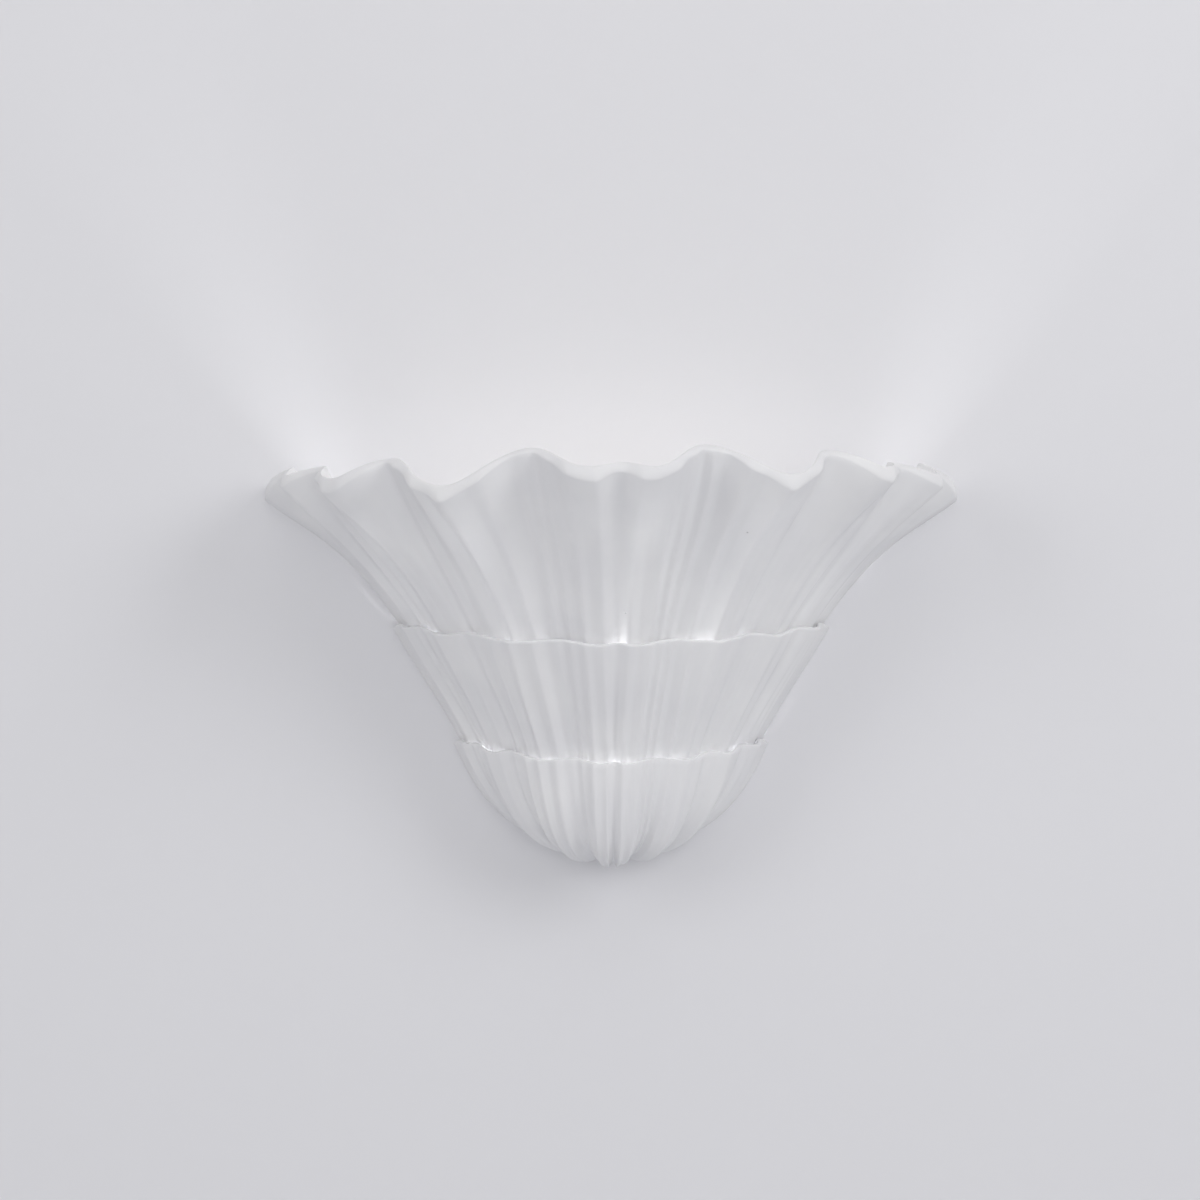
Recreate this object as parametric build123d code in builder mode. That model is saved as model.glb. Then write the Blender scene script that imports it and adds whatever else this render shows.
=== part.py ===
from build123d import *
import os
from math import cos, hypot, pi, radians, sin, sqrt, tan

# Plaster wall uplighter shaped like a ruffled shell, made of three nested fluted tiers.
# Lengths are in millimetres. The wall is the plane y = 0 and the lamp stands out along -Y.
# The origin is the middle of the wall plate's back face, on the wall, with Z upwards.
# Heights of the shell are counted from a level just under it, at the shell's drop below the origin.

# ---- the shell as a whole ----
shell_half_width = 218.0        # to the ruffled rim's edge at the wall, before its rounding
plan_depth_ratio = 0.85         # projection from the wall for each unit of half width
shell_drop = 135.0              # from the wall plate's middle down to the level of height 0
plaster_wall = 6.5              # cast thickness in the body of a tier
rim_wall = 9.0                  # thicker edge of the ruffled rim in its folds
rim_face_height = 10.5          # nearly upright face that ends the rim on its bulges
rim_face_lean = 2.0             # and how far that face leans in
foot_wall = 4.0                 # lower edge of the two upper tiers
section_step = 2.0              # degrees between the radial sections

# ---- where one tier ends and the next begins ----
lower_rim_height = 77.0
lower_rim_half_width = 99.3
middle_rim_height = 149.5
middle_rim_half_width = 137.8
lip_wall = 3.0                  # tapered upper edge of the two lower tiers
neck_wall = 4.5                 # and their wall below it, beside the next tier's foot
slot_gap = 2.0                  # open light slot between a lip and the foot inside it
slot_overlap = 8.0              # how far a foot reaches down behind the lip
slot_drop = 10.0                # a slot lies lower at the front than at the wall
slot_wave = 2.6                 # and rises a little in each fold
button_radius = 6.0             # closed middle of the bowl's underside, by the wall
button_rise = 10.0              # the underside rises to it from its lowest line, further forward
button_wall = 9.0               # plaster round the middle of the underside
button_dimple = 1.0             # the plug in the middle is thinner by this
button_lap = 0.5                # and runs this far into the wall round it
nose_share = 0.22               # how far the rounded edges swell, as a share of their thickness
nose_taper = 0.04               # and how much narrower the swelling starts on each side

# ---- folds and flutes ----
fold_depth = 4.0                # how far the folds go in on the body
rim_fold_depth = 15.0           # and at the ruffled rim
bowl_fold_depth = 7.0           # and round the bowl's lower edge
bowl_fold_rise = 9.0            # the folds also lift the underside of the bowl
fold_sharpness = 1.6            # above 1 the bulges are wide and the folds narrow
flute_depth = 0.9               # fine grooves between the ridges, on the body
rim_flute_depth = 1.4           # and at the rim
lip_flute_depth = 0.6           # and at the thin lips

# Folds round the rim: angle from the front, height of the outer edge, 0 on a bulge to 1 in a fold
rim_stations = [
    (-90, 230, 0), (-80, 244, 0.8), (-71, 236, 0.4), (-64, 244.5, 1), (-50.5, 230, 0), (-42, 247.5, 1),
    (-27.3, 224, 0), (-14, 252.5, 1), (-3.6, 234.5, 0), (2, 239, 0.4), (6.4, 234.5, 0), (16.2, 254.5, 1),
    (29.3, 231, 0), (41.2, 252.5, 1), (49, 237, 0), (60, 246.5, 1), (70, 236, 0.3), (79, 248, 1),
    (90, 230, 0),
]
# Crests of the fine ridges: angle, and how deep the groove to its right is as a share of the flute depth
ridges = [
    (-90, 0.6), (-80, 0.8), (-72, 1.3), (-65, 1.2), (-59, 1.1), (-53, 0.9), (-45, 0.7), (-40, 0.6),
    (-34, 1.3), (-28, 1.4), (-21, 1.0), (-14.5, 0.6), (-11, 0.7), (-7, 0.8), (-2, 1.7), (4.5, 1.1),
    (11, 0.7), (14, 0.7), (17, 1.5), (22, 1.7), (29, 0.9), (35.5, 0.9), (42, 0.7), (49.5, 0.8),
    (56, 0.6), (64, 0.6), (72, 0.6), (81, 0.5), (90, 0),
]
# Handles of each tier's profile, as shares of its widening and of its height
lower_wall_handles = [(0.386, 0.03), (0.7, 0.16), (0.874, 0.594)]
lower_front_handles = [(0.386, -0.245), (0.772, -0.315), (0.879, 0.36)]
middle_handles = [(0.265, 0.34), (0.66, 0.655)]
bulge_handles = [(0.15, 0.25), (0.46, 0.72), (0.72, 0.78)]
fold_handles = [(0.14, 0.22), (0.5, 0.5), (0.8, 0.77)]

# ---- steel frame that joins the tiers behind ----
frame_thickness = 2.0
frame_wall_gap = 3.0            # from the wall to the frame's back
rail_width = 13.0
upper_lug_height = 172.0
middle_lug_height = 112.0
lower_lug_height = 52.0
lug_radius = 8.0
lug_depth = 9.0
lug_reach = 6.0                 # between the two round ends of a lug
lug_cover = 4.0                 # plaster left outside a lug's end where a fold comes in
insert_radius = 3.0
insert_length = 7.0
frame_screw_radius = 1.9
frame_screw_length = 8.0
frame_screw_head_radius = 3.6
screw_clearance = 0.25

# ---- wall plate ----
plate_width = 156.0
plate_height = 80.0
plate_thickness = 2.0
plate_corner = 6.0
wall_hole_spacing = 132.0
wall_hole_radius = 2.75
cable_hole_radius = 9.0
cable_place = (-20.0, 4.0)      # across and up from the plate's middle
grommet_bore_radius = 4.5
grommet_flange = 2.5
grommet_thickness = 1.5
hook_spacing = 100.0
hook_width = 14.0
hook_seat_height = 22.0         # above the plate's middle: the crossbar rests here
hook_lip = 8.0
hook_metal = 2.0
hook_clearance = 1.0            # before and behind the crossbar
crossbar_height = 16.0

# ---- lamp bracket ----
bracket_metal = 2.0
bracket_width = 36.0
shelf_height = -35.0            # top of the shelf, from the plate's middle
bracket_pad_height = 24.0
bracket_bend = 2.0
bulb_spacing = 92.0
bulb_depth = 45.0               # bulb axis from the wall
arm_margin = 11.0
bracket_screw_spacing = 22.0
bracket_screw_radius = 2.0
bracket_screw_head_radius = 3.8
bracket_screw_head = 2.4

# ---- lampholders for a 14 mm screw cap ----
holder_height = 38.0
holder_base_radius = 14.5
holder_top_radius = 13.0
holder_floor = 10.0
holder_bore_radius = 8.5
terminal_box_width = 15.0
terminal_box_height = 12.0
terminal_box_depth = 3.0
sleeve_radius = 8.35
sleeve_bore_radius = 7.1
sleeve_height = 24.0
contact_radius = 3.0
contact_height = 3.0
nipple_radius = 5.0
nipple_bore_radius = 3.5
nipple_grip = 5.0               # length of nipple inside the lampholder
nut_across_flats = 14.0
nut_thickness = 4.0
thread_clearance = 0.1

# ---- golf-ball bulbs ----
tip_radius = 2.4
tip_height = 2.0
insulator_height = 2.5
cap_crest_radius = 6.85
cap_root_radius = 6.4
thread_pitch = 2.82
thread_turns = 5
cap_skirt = 6.8
collar_radius = 12.0
collar_height = 13.0
globe_radius = 22.5
globe_wall = 1.2
globe_seat_radius = 17.0

# ---- terminal block, earth point and internal leads ----
block_width = 24.0
block_height = 16.0
block_depth = 14.0
block_centre = (38.0, -4.0)     # across and up from the plate's middle
pole_spacing = 12.0
clamp_screw_radius = 1.9
clamp_screw_length = 5.0
earth_place = (-38.0, -6.0)
earth_washer_radius = 5.5
earth_washer_thickness = 1.2
earth_screw_radius = 2.0
earth_screw_head_radius = 3.8
earth_screw_head = 2.4
lead_radius = 1.1
lead_pair_gap = 3.0
lead_forward = 9.0              # the right leads run this far in front of the block's middle

os.makedirs("parts", exist_ok=True)


def save(builder, name):
    """Label a finished piece and write it to its own file."""
    builder.part.label = name
    export_step(builder.part, f"parts/{name}.step")


def eased(stations, angle, column):
    """Value at an angle, flat at each station and smooth between them."""
    for here, there in zip(stations, stations[1:]):
        if angle <= there[0]:
            share = (angle - here[0]) / (there[0] - here[0])
            return here[column] + (there[column] - here[column]) * (1 - cos(pi * share)) / 2
    return stations[-1][column]


def fold_at(angle):
    """0 on a bulge and 1 in the middle of a fold."""
    return eased(rim_stations, angle, 2)


def groove_at(angle):
    """0 on a fine ridge and the groove's own share midway between two ridges."""
    for (here, depth), (there, _) in zip(ridges, ridges[1:]):
        if angle <= there:
            return depth * (1 - cos(2 * pi * (angle - here) / (there - here))) / 2
    return 0.0


def profile(foot, rim, handles):
    """Control points of a tier's outer profile as (half width, height)."""
    wide, tall = rim[0] - foot[0], rim[1] - foot[1]
    inner = [(foot[0] + wide * across, foot[1] + tall * up) for across, up in handles]
    return [foot, *inner, rim]


def curve_point(points, share):
    """Point of a Bezier curve by repeated halfway steps."""
    while len(points) > 1:
        points = [
            (a[0] + (b[0] - a[0]) * share, a[1] + (b[1] - a[1]) * share)
            for a, b in zip(points, points[1:])
        ]
    return points[0]


def half_width_at(points, height):
    """Half width of a profile where it passes a height."""
    low, high = 0.0, 1.0
    for _ in range(40):
        middle = (low + high) / 2
        if curve_point(points, middle)[1] < height:
            low = middle
        else:
            high = middle
    return curve_point(points, low)[0]


def end_slope(points):
    """Widening for each unit of height at the upper end of a profile."""
    return (points[-1][0] - points[-2][0]) / (points[-1][1] - points[-2][1])


# The two lower tiers end in a lip, and the next tier's foot stands inside it
lower_profile = profile(
    (button_radius, button_rise), (lower_rim_half_width, lower_rim_height), lower_wall_handles
)


def foot_inside(points, rim_height):
    """Outer edge of the foot that stands inside a lip, with the slot between them."""
    height = rim_height - slot_overlap
    slant = hypot(1, end_slope(points))
    return (half_width_at(points, height) - (lip_wall + slot_gap) * slant, height)


middle_foot = foot_inside(lower_profile, lower_rim_height)
middle_profile = profile(middle_foot, (middle_rim_half_width, middle_rim_height), middle_handles)
upper_foot = foot_inside(middle_profile, middle_rim_height)
upper_profile = profile(upper_foot, (shell_half_width, rim_stations[0][1]), bulge_handles)


def slot_shift(points, angle):
    """How a slot edge moves along its profile at an angle: lower at the front, higher in a fold."""
    rise = slot_wave * fold_at(angle) - slot_drop * cos(radians(angle)) ** 2
    return (end_slope(points) * rise, rise)


def moved(point, shift):
    """A point carried along by a shift."""
    return (point[0] + shift[0], point[1] + shift[1])


def relief(points, angle, fold_depths, flute_depths, fold_rises):
    """Press the folds and the fine grooves into the control points of a profile."""
    fold = fold_at(angle) ** fold_sharpness
    groove = groove_at(angle)
    return [
        (r - inward * fold - fine * groove, h + up * fold)
        for (r, h), inward, fine, up in zip(points, fold_depths, flute_depths, fold_rises)
    ]


def blended(first, second, share):
    """Handles part of the way from one set to another."""
    return [(a[0] + (b[0] - a[0]) * share, a[1] + (b[1] - a[1]) * share) for a, b in zip(first, second)]


def lower_section(angle):
    """Outer points of the bowl's section, then its smooth points, folds, rises, walls and upright share."""
    front = cos(radians(angle)) ** 2
    rim = moved(lower_profile[-1], slot_shift(lower_profile, angle))
    points = profile(lower_profile[0], rim, blended(lower_wall_handles, lower_front_handles, front))
    depths = (0, fold_depth, bowl_fold_depth, fold_depth, fold_depth)
    flutes = (0, flute_depth / 2, flute_depth, flute_depth, lip_flute_depth)
    rises = (0, bowl_fold_rise, bowl_fold_rise, 0, 0)
    walls = (button_wall, plaster_wall, plaster_wall, neck_wall, lip_wall)
    return relief(points, angle, depths, flutes, rises), points, depths, rises, walls, 0


def middle_section(angle):
    """The same for the middle tier."""
    foot = moved(middle_profile[0], slot_shift(lower_profile, angle))
    rim = moved(middle_profile[-1], slot_shift(middle_profile, angle))
    points = profile(foot, rim, middle_handles)
    depths = (fold_depth,) * 4
    flutes = (flute_depth, flute_depth, flute_depth, lip_flute_depth)
    rises = (0,) * 4
    walls = (foot_wall, plaster_wall, neck_wall, lip_wall)
    return relief(points, angle, depths, flutes, rises), points, depths, rises, walls, 0


def upper_section(angle):
    """The same for the upper tier, whose folds grow towards the rim and whose bulges end upright."""
    fold = fold_at(angle)
    foot = moved(upper_profile[0], slot_shift(middle_profile, angle))
    rim = (shell_half_width, eased(rim_stations, angle, 1))
    points = profile(foot, rim, blended(bulge_handles, fold_handles, fold))
    depths = [fold_depth + (rim_fold_depth - fold_depth) * share for share in (0, 0.15, 0.4, 0.7, 1)]
    flutes = [flute_depth + (rim_flute_depth - flute_depth) * share for share in (0, 0.25, 0.5, 0.75, 1)]
    rises = (0,) * 5
    walls = (foot_wall, plaster_wall, plaster_wall, plaster_wall, rim_wall)
    return relief(points, angle, depths, flutes, rises), points, depths, rises, walls, 1 - fold


def radial_plane(angle):
    """Upright plane through the shell's axis, and how much it squeezes half widths."""
    across, out = sin(radians(angle)), plan_depth_ratio * cos(radians(angle))
    squeeze = hypot(across, out)
    direction = Vector(across / squeeze, -out / squeeze, 0)
    plane = Plane(origin=(0, 0, -shell_drop), x_dir=direction, z_dir=direction.cross(Vector(0, 0, 1)))
    return plane, squeeze


def inset(points, walls):
    """Move each control point square to its neighbours by the wall's thickness there."""
    result = []
    for index, (r, h) in enumerate(points):
        before = points[max(index - 1, 0)]
        after = points[min(index + 1, len(points) - 1)]
        along = (after[0] - before[0], after[1] - before[1])
        size = hypot(*along)
        result.append((r - along[1] / size * walls[index], h + along[0] / size * walls[index]))
    return result


def tier_sketch(section, angle):
    """One closed radial section: fluted outside, rounded edge, smooth inside, foot."""
    plane, squeeze = radial_plane(angle)
    outer, smooth, depths, rises, walls, upright = section(angle)
    fold = fold_at(angle) ** fold_sharpness
    folded = [((r - d * fold) * squeeze, h + u * fold) for (r, h), d, u in zip(smooth, depths, rises)]
    outer = [(r * squeeze, h) for r, h in outer]
    inner = inset(folded, walls)
    face_top = moved(folded[-1], (-rim_face_lean, rim_face_height))
    inner[-1] = blended([inner[-1]], [face_top], upright)[0]
    edge = (inner[-1][0] - outer[-1][0], inner[-1][1] - outer[-1][1])
    nose = [
        (
            outer[-1][0] + edge[0] * along + edge[1] * nose_share,
            outer[-1][1] + edge[1] * along - edge[0] * nose_share,
        )
        for along in (nose_taper, 1 - nose_taper)
    ]
    with BuildSketch(plane) as radial:
        with BuildLine():
            Bezier(*outer)
            Bezier(outer[-1], *nose, inner[-1])
            Bezier(*reversed(inner))
            Line(inner[0], outer[0])
        make_face()
    return radial.sketch


section_count = round(180 / section_step)
section_angles = [-90 + index * 180 / section_count for index in range(section_count + 1)]


def lug_centre(points, height, fold):
    """Across and up to a fixing screw, so that the lug's end stays inside the folded wall."""
    lug_end = half_width_at(points, height) - fold - lug_cover
    return (lug_end - lug_radius - lug_reach, height - shell_drop)


lug_centres = {
    "lower": lug_centre(lower_profile, lower_lug_height, bowl_fold_depth),
    "middle": lug_centre(middle_profile, middle_lug_height, fold_depth),
    "upper": lug_centre(upper_profile, upper_lug_height, fold_depth),
}
frame_front = frame_wall_gap + frame_thickness


def lug_pair(centre):
    """Outline of two cast lugs, which run from the screws into the tier's wall."""
    with BuildSketch(Plane.XZ.offset(frame_front)) as lugs:
        with Locations(*[(side * (centre[0] + lug_reach / 2), centre[1]) for side in (-1, 1)]):
            SlotCenterToCenter(lug_reach, 2 * lug_radius)
    return lugs.sketch


def insert_pair(centre, radius):
    """Two round outlines at a tier's fixing screws."""
    with BuildSketch(Plane.XZ.offset(frame_front)) as holes:
        with Locations(*[(side * centre[0], centre[1]) for side in (-1, 1)]):
            Circle(radius)
    return holes.sketch


# ---- the three plaster tiers ----
plug_radius = button_radius + button_lap
with BuildPart() as lower_tier:
    loft(sections=[tier_sketch(lower_section, angle) for angle in section_angles])
    with BuildSketch(Plane.XY.offset(button_rise - shell_drop)):
        Circle(plug_radius)
        with Locations((0, plug_radius)):
            Rectangle(4 * plug_radius, 2 * plug_radius, mode=Mode.SUBTRACT)
    extrude(amount=button_wall - button_dimple)
    extrude(lug_pair(lug_centres["lower"]), amount=lug_depth)
    extrude(insert_pair(lug_centres["lower"], insert_radius), amount=insert_length, mode=Mode.SUBTRACT)
save(lower_tier, "lower_tier")

with BuildPart() as middle_tier:
    loft(sections=[tier_sketch(middle_section, angle) for angle in section_angles])
    extrude(lug_pair(lug_centres["middle"]), amount=lug_depth)
    extrude(insert_pair(lug_centres["middle"], insert_radius), amount=insert_length, mode=Mode.SUBTRACT)
save(middle_tier, "middle_tier")

with BuildPart() as upper_tier:
    loft(sections=[tier_sketch(upper_section, angle) for angle in section_angles])
    extrude(lug_pair(lug_centres["upper"]), amount=lug_depth)
    extrude(insert_pair(lug_centres["upper"], insert_radius), amount=insert_length, mode=Mode.SUBTRACT)
save(upper_tier, "upper_tier")

# ---- the steel frame that carries the tiers ----
fixings = [(side * across, up) for across, up in lug_centres.values() for side in (-1, 1)]
rear_face = Plane(origin=(0, -frame_wall_gap, 0), x_dir=(-1, 0, 0), z_dir=(0, 1, 0))


def rail_across(height):
    """Half width of the frame's rails between the middle and upper lugs."""
    (x1, z1), (x2, z2) = lug_centres["middle"], lug_centres["upper"]
    return x1 + (x2 - x1) * (height - z1) / (z2 - z1)


crossbar_middle = hook_seat_height + crossbar_height / 2
with BuildPart() as shell_frame:
    with BuildSketch(Plane.XZ.offset(frame_wall_gap)):
        for side in (-1, 1):
            with BuildLine():
                Polyline(*[(side * across, up) for across, up in lug_centres.values()])
            trace(line_width=rail_width)
        with Locations(*fixings):
            Circle(lug_radius)
        with Locations((0, crossbar_middle)):
            Rectangle(2 * rail_across(crossbar_middle), crossbar_height)
        with Locations((0, lug_centres["lower"][1])):
            Rectangle(2 * lug_centres["lower"][0], rail_width)
    extrude(amount=frame_thickness)
    with Locations(rear_face):
        with Locations(*fixings):
            CounterSinkHole(frame_screw_radius + screw_clearance, frame_screw_head_radius + screw_clearance)
save(shell_frame, "shell_frame")

with BuildPart() as threaded_inserts:
    with BuildSketch(Plane.XZ.offset(frame_front)):
        with Locations(*fixings):
            Circle(insert_radius)
            Circle(frame_screw_radius + thread_clearance, mode=Mode.SUBTRACT)
    extrude(amount=insert_length)
save(threaded_inserts, "threaded_inserts")


def countersunk_screw(radius, head_radius, length):
    """Flat-headed screw pointing down from its head, with a slotted drive."""
    head = head_radius - radius
    with BuildPart() as screw:
        with Locations((0, 0, -head / 2)):
            Cone(radius, head_radius, head)
        with Locations((0, 0, -length / 2)):
            Cylinder(radius, length)
        with Locations((0, 0, -head / 4)):
            Box(1.5 * head_radius, 0.25 * head_radius, head / 2, mode=Mode.SUBTRACT)
    return screw.part


def pan_screw(radius, head_radius, head, length):
    """Round-headed screw pointing down from under its head, with a slotted drive."""
    with BuildPart() as screw:
        with Locations((0, 0, head / 2)):
            Cylinder(head_radius, head)
        fillet(screw.faces().sort_by(Axis.Z)[-1].edges(), head / 2)
        with Locations((0, 0, -length / 2)):
            Cylinder(radius, length)
        with Locations((0, 0, head)):
            Box(3 * head_radius, 0.25 * head_radius, head, mode=Mode.SUBTRACT)
    return screw.part


with BuildPart() as frame_screws:
    with Locations(rear_face):
        with Locations(*fixings):
            add(countersunk_screw(frame_screw_radius, frame_screw_head_radius, frame_screw_length))
save(frame_screws, "frame_screws")

# ---- the wall plate and what is fastened to it ----
plate_front = Plane.XZ.offset(plate_thickness)
wall_holes = [(side * wall_hole_spacing / 2, 0) for side in (-1, 1)]
shelf_under = shelf_height - bracket_metal
pad_top = shelf_under + bracket_pad_height
bracket_holes = [(side * bracket_screw_spacing / 2, (shelf_height + pad_top) / 2) for side in (-1, 1)]
hook_front = frame_front + hook_clearance

with BuildPart() as wall_plate:
    with BuildSketch(Plane.XZ):
        RectangleRounded(plate_width, plate_height, plate_corner)
        with Locations(*wall_holes):
            Circle(wall_hole_radius, mode=Mode.SUBTRACT)
        with Locations(cable_place):
            Circle(cable_hole_radius, mode=Mode.SUBTRACT)
        with Locations(*bracket_holes):
            Circle(bracket_screw_radius + thread_clearance, mode=Mode.SUBTRACT)
        with Locations(earth_place):
            Circle(earth_screw_radius + thread_clearance, mode=Mode.SUBTRACT)
    extrude(amount=plate_thickness)
    for side in (-1, 1):
        with BuildSketch(Plane.YZ.offset(side * hook_spacing / 2)):
            with BuildLine():
                Polyline(
                    (-plate_thickness / 2, hook_seat_height - hook_metal),
                    (-hook_front - hook_metal, hook_seat_height - hook_metal),
                    (-hook_front - hook_metal, hook_seat_height + hook_lip),
                    (-hook_front, hook_seat_height + hook_lip),
                    (-hook_front, hook_seat_height),
                    (-plate_thickness / 2, hook_seat_height),
                    close=True,
                )
            make_face()
        extrude(amount=hook_width / 2, both=True)
save(wall_plate, "wall_plate")

with BuildPart() as cable_grommet:
    with BuildSketch(Plane.XZ):
        with Locations(cable_place):
            Circle(cable_hole_radius)
            Circle(grommet_bore_radius, mode=Mode.SUBTRACT)
    extrude(amount=plate_thickness)
    with BuildSketch(plate_front):
        with Locations(cable_place):
            Circle(cable_hole_radius + grommet_flange)
            Circle(grommet_bore_radius, mode=Mode.SUBTRACT)
    extrude(amount=grommet_thickness)
save(cable_grommet, "cable_grommet")

# ---- the bracket: a pad on the plate, a shelf forward and an arm across for the two lampholders ----
bulb_places = {"left": -bulb_spacing / 2, "right": bulb_spacing / 2}
with BuildPart() as lamp_bracket:
    with BuildSketch(Plane.YZ):
        with BuildLine():
            Polyline(
                (-plate_thickness, shelf_under),
                (-bulb_depth, shelf_under),
                (-bulb_depth, shelf_height),
                (-plate_thickness - bracket_metal, shelf_height),
                (-plate_thickness - bracket_metal, pad_top),
                (-plate_thickness, pad_top),
                close=True,
            )
        make_face()
    extrude(amount=bracket_width / 2, both=True)
    across_edges = lamp_bracket.edges().filter_by(Axis.X)
    shelf_edges = across_edges.filter_by(
        lambda edge: abs(edge.center().Z - shelf_height) < bracket_metal / 2
    )
    fillet(shelf_edges.sort_by(Axis.Y)[-1], bracket_bend)
    with BuildSketch(Plane.XY.offset(shelf_under)):
        with Locations((0, -bulb_depth)):
            RectangleRounded(bulb_spacing + 2 * arm_margin, 2 * arm_margin, arm_margin / 2)
    extrude(amount=bracket_metal)
    with BuildSketch(Plane.XY.offset(shelf_under)):
        with Locations(*[(across, -bulb_depth) for across in bulb_places.values()]):
            Circle(nipple_radius + thread_clearance)
    extrude(amount=bracket_metal, mode=Mode.SUBTRACT)
    with BuildSketch(plate_front):
        with Locations(*bracket_holes):
            Circle(bracket_screw_radius + screw_clearance)
    extrude(amount=bracket_metal, mode=Mode.SUBTRACT)
save(lamp_bracket, "lamp_bracket")

with BuildPart() as bracket_screws:
    with Locations(plate_front.offset(bracket_metal)):
        with Locations(*bracket_holes):
            add(
                pan_screw(
                    bracket_screw_radius,
                    bracket_screw_head_radius,
                    bracket_screw_head,
                    bracket_metal + plate_thickness,
                )
            )
save(bracket_screws, "bracket_screws")

# ---- terminal block: supply wires enter from above, the lampholders' leads leave below ----
block_x, block_z = block_centre
block_middle = -plate_thickness - block_depth / 2
block_front = plate_front.offset(block_depth)
poles = {"live": block_x - pole_spacing / 2, "neutral": block_x + pole_spacing / 2}
clamps = [(across, block_z) for across in poles.values()]
with BuildPart() as terminal_block:
    with Locations((block_x, block_middle, block_z)):
        Box(block_width, block_depth, block_height)
    fillet(terminal_block.edges().filter_by(Axis.Y), 1.0)
    with BuildSketch(block_front):
        with Locations(*clamps):
            Circle(clamp_screw_radius + screw_clearance)
    extrude(amount=-clamp_screw_length, mode=Mode.SUBTRACT)
    with BuildSketch(Plane.XY.offset(block_z + block_height / 2)):
        with Locations(*[(across, block_middle) for across in poles.values()]):
            Circle(clamp_screw_radius)
    extrude(amount=-block_height / 4, mode=Mode.SUBTRACT)
save(terminal_block, "terminal_block")

with BuildPart() as clamp_screws:
    with BuildSketch(block_front.offset(-clamp_screw_length)):
        with Locations(*clamps):
            Circle(clamp_screw_radius)
    extrude(amount=clamp_screw_length - 1.0)
save(clamp_screws, "clamp_screws")

with BuildPart() as earth_washer:
    with BuildSketch(plate_front):
        with Locations(earth_place):
            Circle(earth_washer_radius)
            Circle(earth_screw_radius + thread_clearance, mode=Mode.SUBTRACT)
    extrude(amount=earth_washer_thickness)
save(earth_washer, "earth_washer")

with BuildPart() as earth_screw:
    with Locations(plate_front.offset(earth_washer_thickness)):
        with Locations(earth_place):
            add(
                pan_screw(
                    earth_screw_radius,
                    earth_screw_head_radius,
                    earth_screw_head,
                    earth_washer_thickness + plate_thickness,
                )
            )
save(earth_screw, "earth_screw")

# ---- lampholders, upright on the arm ----
box_back = holder_base_radius + terminal_box_depth
for name, across in bulb_places.items():
    seat = Plane(origin=(across, -bulb_depth, shelf_height))
    with BuildPart() as lampholder:
        with Locations(seat):
            with Locations((0, 0, holder_height / 2)):
                Cone(holder_base_radius, holder_top_radius, holder_height)
            with Locations((0, box_back / 2, terminal_box_height / 2)):
                Box(terminal_box_width, box_back, terminal_box_height)
            with Locations((0, 0, holder_floor)):
                Cylinder(
                    holder_bore_radius,
                    holder_height,
                    align=(Align.CENTER, Align.CENTER, Align.MIN),
                    mode=Mode.SUBTRACT,
                )
            Cylinder(
                nipple_radius + thread_clearance,
                nipple_grip,
                align=(Align.CENTER, Align.CENTER, Align.MIN),
                mode=Mode.SUBTRACT,
            )
    save(lampholder, f"lampholder_{name}")

    with BuildPart() as sleeve:
        with BuildSketch(seat.offset(holder_floor)):
            Circle(sleeve_radius)
            Circle(sleeve_bore_radius, mode=Mode.SUBTRACT)
        extrude(amount=sleeve_height)
    save(sleeve, f"socket_sleeve_{name}")

    with BuildPart() as contact:
        with BuildSketch(seat.offset(holder_floor)):
            Circle(contact_radius)
        extrude(amount=contact_height, taper=10)
    save(contact, f"centre_contact_{name}")

seats = [(across, -bulb_depth) for across in bulb_places.values()]
with BuildPart() as holder_nipples:
    with BuildSketch(Plane.XY.offset(shelf_under - nut_thickness - bracket_metal / 2)):
        with Locations(*seats):
            Circle(nipple_radius)
            Circle(nipple_bore_radius, mode=Mode.SUBTRACT)
    extrude(amount=bracket_metal / 2 + nut_thickness + bracket_metal + nipple_grip)
save(holder_nipples, "holder_nipples")

with BuildPart() as holder_nuts:
    with BuildSketch(Plane.XY.offset(shelf_under - nut_thickness)):
        with Locations(*seats):
            RegularPolygon(nut_across_flats / 2, 6, major_radius=False)
            Circle(nipple_radius + thread_clearance, mode=Mode.SUBTRACT)
    extrude(amount=nut_thickness)
save(holder_nuts, "holder_nuts")

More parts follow.
